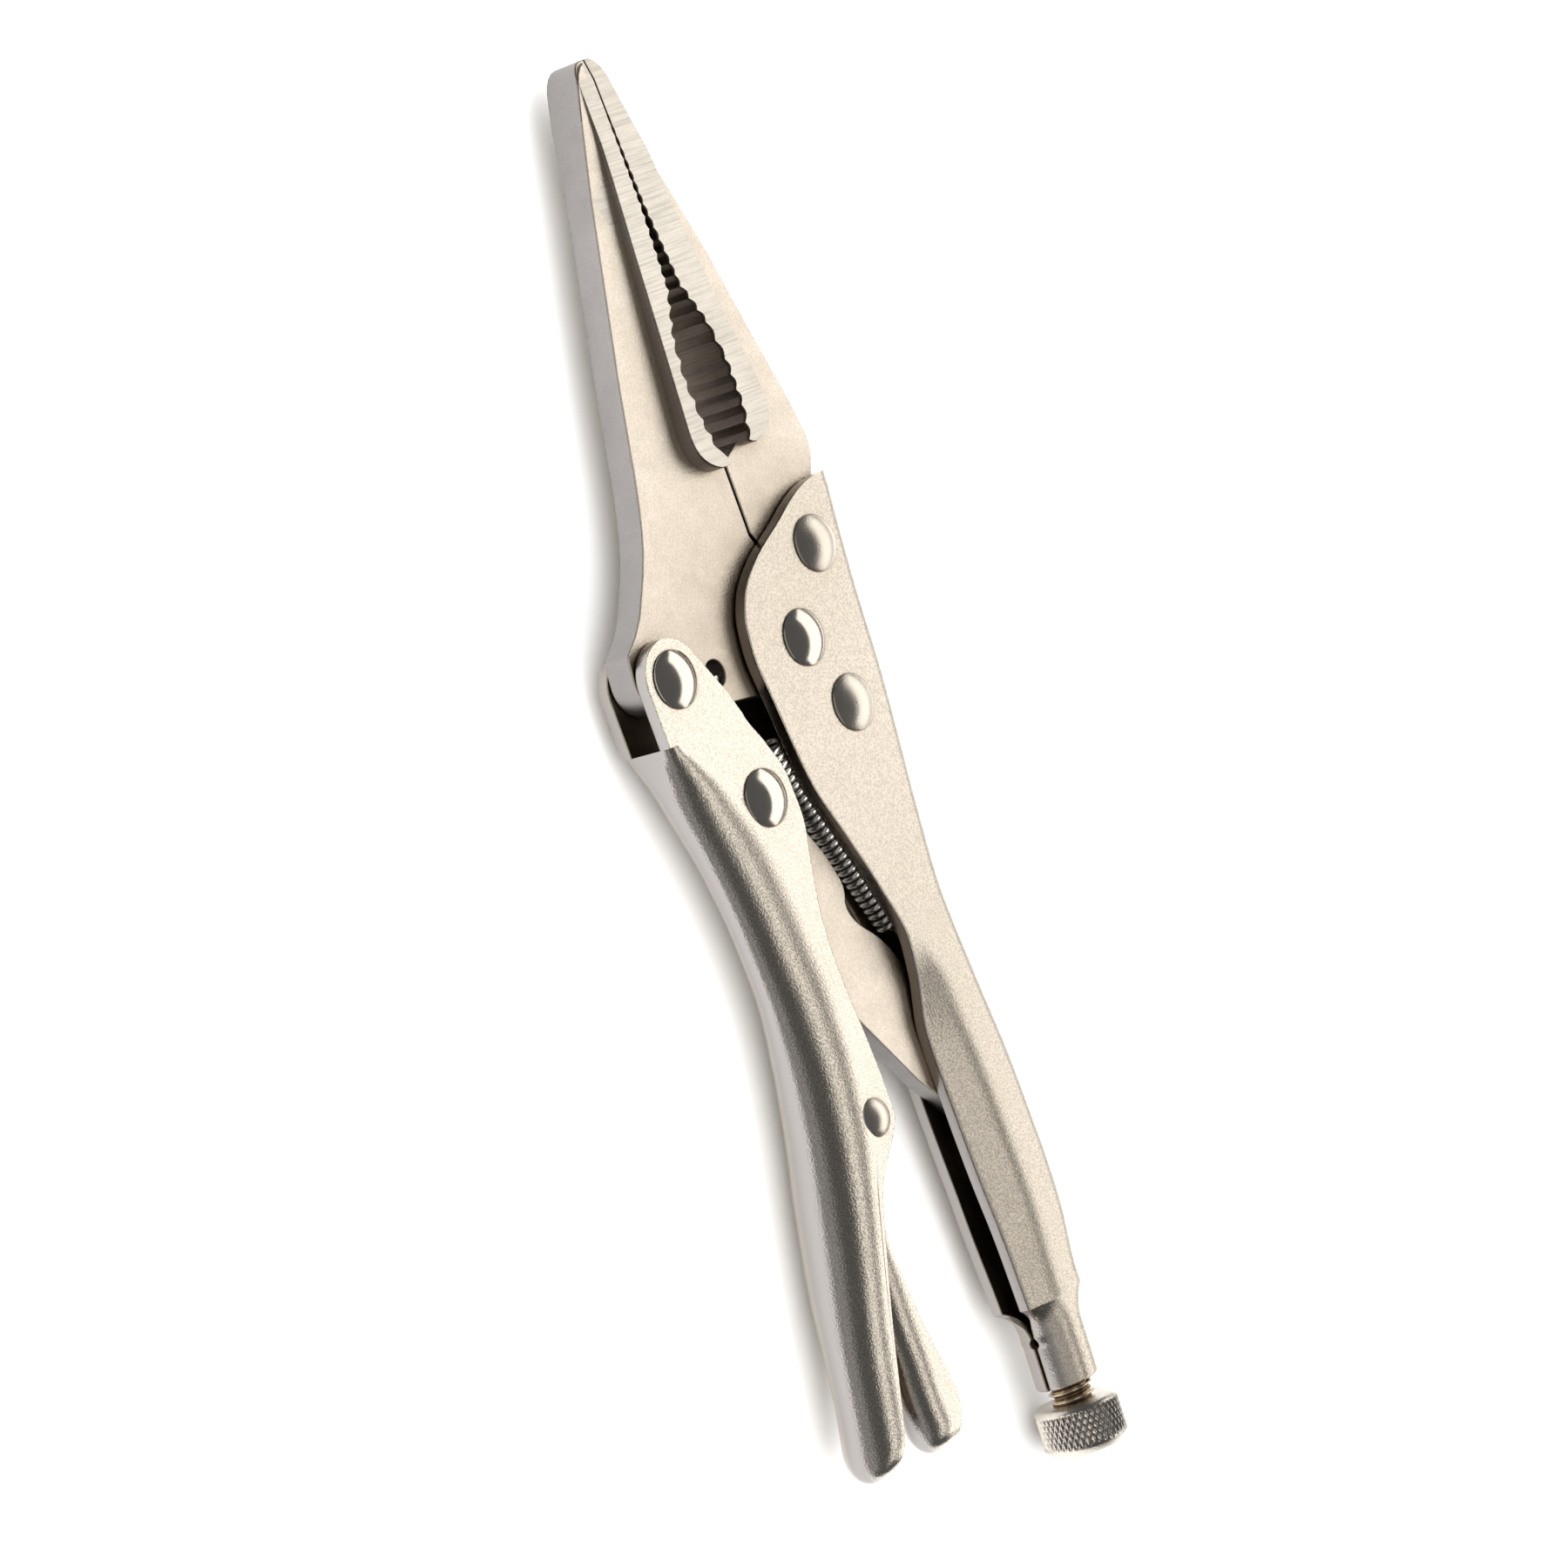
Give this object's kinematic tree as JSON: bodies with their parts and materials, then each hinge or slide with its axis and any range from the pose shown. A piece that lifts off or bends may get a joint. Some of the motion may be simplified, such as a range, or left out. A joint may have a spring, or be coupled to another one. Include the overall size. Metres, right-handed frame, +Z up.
{
  "type": "long-nose locking pliers",
  "caption": "Long-nose locking pliers: plate jaws, folded-sheet handles, toggle link, adjusting screw with knurled knob, release lever and tension spring.",
  "frame": {"origin": "middle of the bounding box in X and Y, at its lowest point in Z: the tool lies on its side on a bench", "axes": "+Y towards the jaw tips along the tool, +X towards the fixed handle and its adjusting screw, +Z up out of the side plates"},
  "size_m": [0.069, 0.235, 0.0169],
  "materials": {
    "satin_nickel": "bead-blasted steel with a warm satin nickel plate",
    "ground_nickel": "nickel-plated turned or folded steel, a little darker and smoother",
    "polished_rivet": "polished nickel-plated rivet heads",
    "spring_wire": "bright drawn spring wire"
  },
  "bodies": {
    "fixed_side": {"fixed_handle": "satin_nickel", "fixed_jaw": "satin_nickel", "fixed_jaw_rivet_front": "satin_nickel", "fixed_jaw_rivet_rear": "satin_nickel", "jaw_pivot_rivet": "polished_rivet", "tension_spring": "spring_wire"},
    "jaw": {"moving_jaw": "satin_nickel"},
    "handle": {"moving_handle": "satin_nickel", "handle_pivot_rivet": "polished_rivet", "link_rivet": "polished_rivet", "lever_rivet": "polished_rivet"},
    "link": {"toggle_link": "satin_nickel"},
    "lever": {"release_lever": "ground_nickel"},
    "screw": {"adjusting_screw": "ground_nickel"},
    "knob": {"adjusting_knob": "ground_nickel"}
  },
  "joints": [
    {"name": "jaw_open", "type": "hinge", "parent": "fixed_side", "child": "jaw", "pos_m": [0.01357, 0.0217, 0.00843], "axis": [0, 0, 1], "range_deg": [0, 12], "deforming": ["tension_spring"]},
    {"name": "handle_fold", "type": "hinge", "parent": "jaw", "child": "handle", "pos_m": [-0.01743, 0.0242, 0.00843], "axis": [0, 0, -1], "range_deg": [0, 48]},
    {"name": "link_swing", "type": "hinge", "parent": "handle", "child": "link", "pos_m": [-0.00743, 0.0017, 0.00843], "axis": [0, 0, 1], "range_deg": [0, 50]},
    {"name": "lever_pull", "type": "hinge", "parent": "handle", "child": "lever", "pos_m": [-0.01073, -0.0503, 0.00843], "axis": [0, 0, -1], "range_deg": [0, 5.4]},
    {"name": "screw_travel", "type": "slide", "parent": "fixed_side", "child": "screw", "axis": [-0.0628, -0.998, 0], "range_m": [0, 0.015]},
    {"name": "knob_turn", "type": "hinge", "parent": "screw", "child": "knob", "pos_m": [0.01857, -0.09843, 0.00843], "axis": [-0.0628, -0.998, 0], "range_deg": [0, 3600]}
  ],
  "couplings": [
    {"joint": "jaw_open", "follows": "handle_fold", "ratio": 0.25},
    {"joint": "link_swing", "follows": "handle_fold", "ratio": 1.04},
    {"joint": "knob_turn", "follows": "screw_travel", "rad_per_m": 4188.8}
  ]
}
